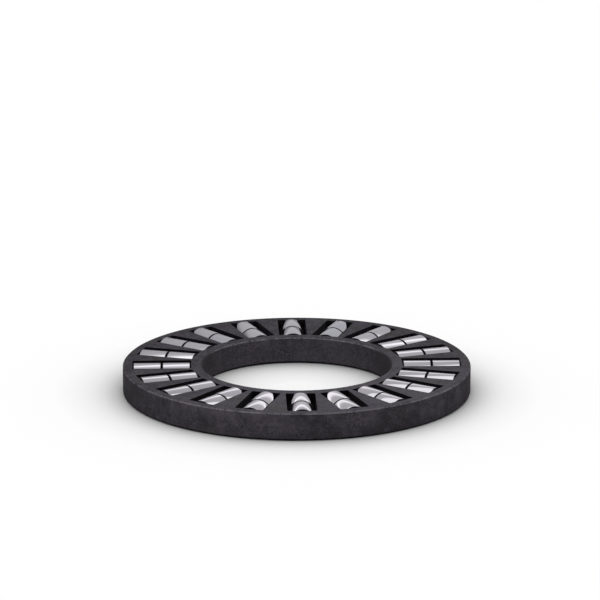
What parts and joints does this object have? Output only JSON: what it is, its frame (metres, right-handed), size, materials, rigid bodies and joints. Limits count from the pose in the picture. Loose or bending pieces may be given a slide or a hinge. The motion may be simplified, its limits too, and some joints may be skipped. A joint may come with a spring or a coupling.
{
  "type": "thrust roller cage assembly",
  "caption": "Flat ring cage whose radial pockets hold cylindrical rollers end to end, to carry axial load between thrust washers.",
  "frame": {"origin": "centre of the bore, midway between the two roller contact planes", "axes": "+Z along the axis of the bearing, normal to the faces; +X along the middle line of the first pocket"},
  "size_m": [0.11, 0.11, 0.009],
  "materials": {
    "cage": "charcoal glass-fibre-reinforced moulding, dull, faintly cloudy",
    "rollers": "through-hardened bearing steel, finely ground and polished"
  },
  "bodies": {
    "cage": {"cage": "cage"},
    "roller_outer_01": {"roller_outer_01": "rollers"},
    "roller_outer_02": {"roller_outer_02": "rollers"},
    "roller_outer_03": {"roller_outer_03": "rollers"},
    "roller_outer_04": {"roller_outer_04": "rollers"},
    "roller_outer_05": {"roller_outer_05": "rollers"},
    "roller_outer_06": {"roller_outer_06": "rollers"},
    "roller_outer_07": {"roller_outer_07": "rollers"},
    "roller_outer_08": {"roller_outer_08": "rollers"},
    "roller_outer_09": {"roller_outer_09": "rollers"},
    "roller_outer_10": {"roller_outer_10": "rollers"},
    "roller_outer_11": {"roller_outer_11": "rollers"},
    "roller_outer_12": {"roller_outer_12": "rollers"},
    "roller_outer_13": {"roller_outer_13": "rollers"},
    "roller_outer_14": {"roller_outer_14": "rollers"},
    "roller_outer_15": {"roller_outer_15": "rollers"},
    "roller_outer_16": {"roller_outer_16": "rollers"},
    "roller_outer_17": {"roller_outer_17": "rollers"},
    "roller_outer_18": {"roller_outer_18": "rollers"},
    "roller_outer_19": {"roller_outer_19": "rollers"},
    "roller_outer_20": {"roller_outer_20": "rollers"},
    "roller_inner_01": {"roller_inner_01": "rollers"},
    "roller_inner_02": {"roller_inner_02": "rollers"},
    "roller_inner_03": {"roller_inner_03": "rollers"},
    "roller_inner_04": {"roller_inner_04": "rollers"},
    "roller_inner_05": {"roller_inner_05": "rollers"},
    "roller_inner_06": {"roller_inner_06": "rollers"},
    "roller_inner_07": {"roller_inner_07": "rollers"},
    "roller_inner_08": {"roller_inner_08": "rollers"},
    "roller_inner_09": {"roller_inner_09": "rollers"},
    "roller_inner_10": {"roller_inner_10": "rollers"},
    "roller_inner_11": {"roller_inner_11": "rollers"},
    "roller_inner_12": {"roller_inner_12": "rollers"},
    "roller_inner_13": {"roller_inner_13": "rollers"},
    "roller_inner_14": {"roller_inner_14": "rollers"},
    "roller_inner_15": {"roller_inner_15": "rollers"},
    "roller_inner_16": {"roller_inner_16": "rollers"},
    "roller_inner_17": {"roller_inner_17": "rollers"},
    "roller_inner_18": {"roller_inner_18": "rollers"},
    "roller_inner_19": {"roller_inner_19": "rollers"},
    "roller_inner_20": {"roller_inner_20": "rollers"}
  },
  "joints": [
    {"name": "roller_outer_01_spin", "type": "hinge", "parent": "cage", "child": "roller_outer_01", "pos_m": [0.04727, 0, 0], "axis": [1, 0, 0], "continuous": true},
    {"name": "roller_outer_02_spin", "type": "hinge", "parent": "cage", "child": "roller_outer_02", "pos_m": [0.04496, 0.01461, 0], "axis": [0.9511, 0.309, 0], "continuous": true},
    {"name": "roller_outer_03_spin", "type": "hinge", "parent": "cage", "child": "roller_outer_03", "pos_m": [0.03825, 0.02779, 0], "axis": [0.809, 0.5878, 0], "continuous": true},
    {"name": "roller_outer_04_spin", "type": "hinge", "parent": "cage", "child": "roller_outer_04", "pos_m": [0.02779, 0.03825, 0], "axis": [0.5878, 0.809, 0], "continuous": true},
    {"name": "roller_outer_05_spin", "type": "hinge", "parent": "cage", "child": "roller_outer_05", "pos_m": [0.01461, 0.04496, 0], "axis": [0.309, 0.9511, 0], "continuous": true},
    {"name": "roller_outer_06_spin", "type": "hinge", "parent": "cage", "child": "roller_outer_06", "pos_m": [0, 0.04727, 0], "axis": [0, 1, 0], "continuous": true},
    {"name": "roller_outer_07_spin", "type": "hinge", "parent": "cage", "child": "roller_outer_07", "pos_m": [-0.01461, 0.04496, 0], "axis": [-0.309, 0.9511, 0], "continuous": true},
    {"name": "roller_outer_08_spin", "type": "hinge", "parent": "cage", "child": "roller_outer_08", "pos_m": [-0.02779, 0.03825, 0], "axis": [-0.5878, 0.809, 0], "continuous": true},
    {"name": "roller_outer_09_spin", "type": "hinge", "parent": "cage", "child": "roller_outer_09", "pos_m": [-0.03825, 0.02779, 0], "axis": [-0.809, 0.5878, 0], "continuous": true},
    {"name": "roller_outer_10_spin", "type": "hinge", "parent": "cage", "child": "roller_outer_10", "pos_m": [-0.04496, 0.01461, 0], "axis": [-0.9511, 0.309, 0], "continuous": true},
    {"name": "roller_outer_11_spin", "type": "hinge", "parent": "cage", "child": "roller_outer_11", "pos_m": [-0.04727, 0, 0], "axis": [-1, 0, 0], "continuous": true},
    {"name": "roller_outer_12_spin", "type": "hinge", "parent": "cage", "child": "roller_outer_12", "pos_m": [-0.04496, -0.01461, 0], "axis": [-0.9511, -0.309, 0], "continuous": true},
    {"name": "roller_outer_13_spin", "type": "hinge", "parent": "cage", "child": "roller_outer_13", "pos_m": [-0.03825, -0.02779, 0], "axis": [-0.809, -0.5878, 0], "continuous": true},
    {"name": "roller_outer_14_spin", "type": "hinge", "parent": "cage", "child": "roller_outer_14", "pos_m": [-0.02779, -0.03825, 0], "axis": [-0.5878, -0.809, 0], "continuous": true},
    {"name": "roller_outer_15_spin", "type": "hinge", "parent": "cage", "child": "roller_outer_15", "pos_m": [-0.01461, -0.04496, 0], "axis": [-0.309, -0.9511, 0], "continuous": true},
    {"name": "roller_outer_16_spin", "type": "hinge", "parent": "cage", "child": "roller_outer_16", "pos_m": [0, -0.04727, 0], "axis": [0, -1, 0], "continuous": true},
    {"name": "roller_outer_17_spin", "type": "hinge", "parent": "cage", "child": "roller_outer_17", "pos_m": [0.01461, -0.04496, 0], "axis": [0.309, -0.9511, 0], "continuous": true},
    {"name": "roller_outer_18_spin", "type": "hinge", "parent": "cage", "child": "roller_outer_18", "pos_m": [0.02779, -0.03825, 0], "axis": [0.5878, -0.809, 0], "continuous": true},
    {"name": "roller_outer_19_spin", "type": "hinge", "parent": "cage", "child": "roller_outer_19", "pos_m": [0.03825, -0.02779, 0], "axis": [0.809, -0.5878, 0], "continuous": true},
    {"name": "roller_outer_20_spin", "type": "hinge", "parent": "cage", "child": "roller_outer_20", "pos_m": [0.04496, -0.01461, 0], "axis": [0.9511, -0.309, 0], "continuous": true},
    {"name": "roller_inner_01_spin", "type": "hinge", "parent": "cage", "child": "roller_inner_01", "pos_m": [0.03807, 0, 0], "axis": [1, 0, 0], "continuous": true},
    {"name": "roller_inner_02_spin", "type": "hinge", "parent": "cage", "child": "roller_inner_02", "pos_m": [0.03621, 0.01177, 0], "axis": [0.9511, 0.309, 0], "continuous": true},
    {"name": "roller_inner_03_spin", "type": "hinge", "parent": "cage", "child": "roller_inner_03", "pos_m": [0.0308, 0.02238, 0], "axis": [0.809, 0.5878, 0], "continuous": true},
    {"name": "roller_inner_04_spin", "type": "hinge", "parent": "cage", "child": "roller_inner_04", "pos_m": [0.02238, 0.0308, 0], "axis": [0.5878, 0.809, 0], "continuous": true},
    {"name": "roller_inner_05_spin", "type": "hinge", "parent": "cage", "child": "roller_inner_05", "pos_m": [0.01177, 0.03621, 0], "axis": [0.309, 0.9511, 0], "continuous": true},
    {"name": "roller_inner_06_spin", "type": "hinge", "parent": "cage", "child": "roller_inner_06", "pos_m": [0, 0.03807, 0], "axis": [0, 1, 0], "continuous": true},
    {"name": "roller_inner_07_spin", "type": "hinge", "parent": "cage", "child": "roller_inner_07", "pos_m": [-0.01177, 0.03621, 0], "axis": [-0.309, 0.9511, 0], "continuous": true},
    {"name": "roller_inner_08_spin", "type": "hinge", "parent": "cage", "child": "roller_inner_08", "pos_m": [-0.02238, 0.0308, 0], "axis": [-0.5878, 0.809, 0], "continuous": true},
    {"name": "roller_inner_09_spin", "type": "hinge", "parent": "cage", "child": "roller_inner_09", "pos_m": [-0.0308, 0.02238, 0], "axis": [-0.809, 0.5878, 0], "continuous": true},
    {"name": "roller_inner_10_spin", "type": "hinge", "parent": "cage", "child": "roller_inner_10", "pos_m": [-0.03621, 0.01177, 0], "axis": [-0.9511, 0.309, 0], "continuous": true},
    {"name": "roller_inner_11_spin", "type": "hinge", "parent": "cage", "child": "roller_inner_11", "pos_m": [-0.03807, 0, 0], "axis": [-1, 0, 0], "continuous": true},
    {"name": "roller_inner_12_spin", "type": "hinge", "parent": "cage", "child": "roller_inner_12", "pos_m": [-0.03621, -0.01177, 0], "axis": [-0.9511, -0.309, 0], "continuous": true},
    {"name": "roller_inner_13_spin", "type": "hinge", "parent": "cage", "child": "roller_inner_13", "pos_m": [-0.0308, -0.02238, 0], "axis": [-0.809, -0.5878, 0], "continuous": true},
    {"name": "roller_inner_14_spin", "type": "hinge", "parent": "cage", "child": "roller_inner_14", "pos_m": [-0.02238, -0.0308, 0], "axis": [-0.5878, -0.809, 0], "continuous": true},
    {"name": "roller_inner_15_spin", "type": "hinge", "parent": "cage", "child": "roller_inner_15", "pos_m": [-0.01177, -0.03621, 0], "axis": [-0.309, -0.9511, 0], "continuous": true},
    {"name": "roller_inner_16_spin", "type": "hinge", "parent": "cage", "child": "roller_inner_16", "pos_m": [0, -0.03807, 0], "axis": [0, -1, 0], "continuous": true},
    {"name": "roller_inner_17_spin", "type": "hinge", "parent": "cage", "child": "roller_inner_17", "pos_m": [0.01177, -0.03621, 0], "axis": [0.309, -0.9511, 0], "continuous": true},
    {"name": "roller_inner_18_spin", "type": "hinge", "parent": "cage", "child": "roller_inner_18", "pos_m": [0.02238, -0.0308, 0], "axis": [0.5878, -0.809, 0], "continuous": true},
    {"name": "roller_inner_19_spin", "type": "hinge", "parent": "cage", "child": "roller_inner_19", "pos_m": [0.0308, -0.02238, 0], "axis": [0.809, -0.5878, 0], "continuous": true},
    {"name": "roller_inner_20_spin", "type": "hinge", "parent": "cage", "child": "roller_inner_20", "pos_m": [0.03621, -0.01177, 0], "axis": [0.9511, -0.309, 0], "continuous": true}
  ]
}
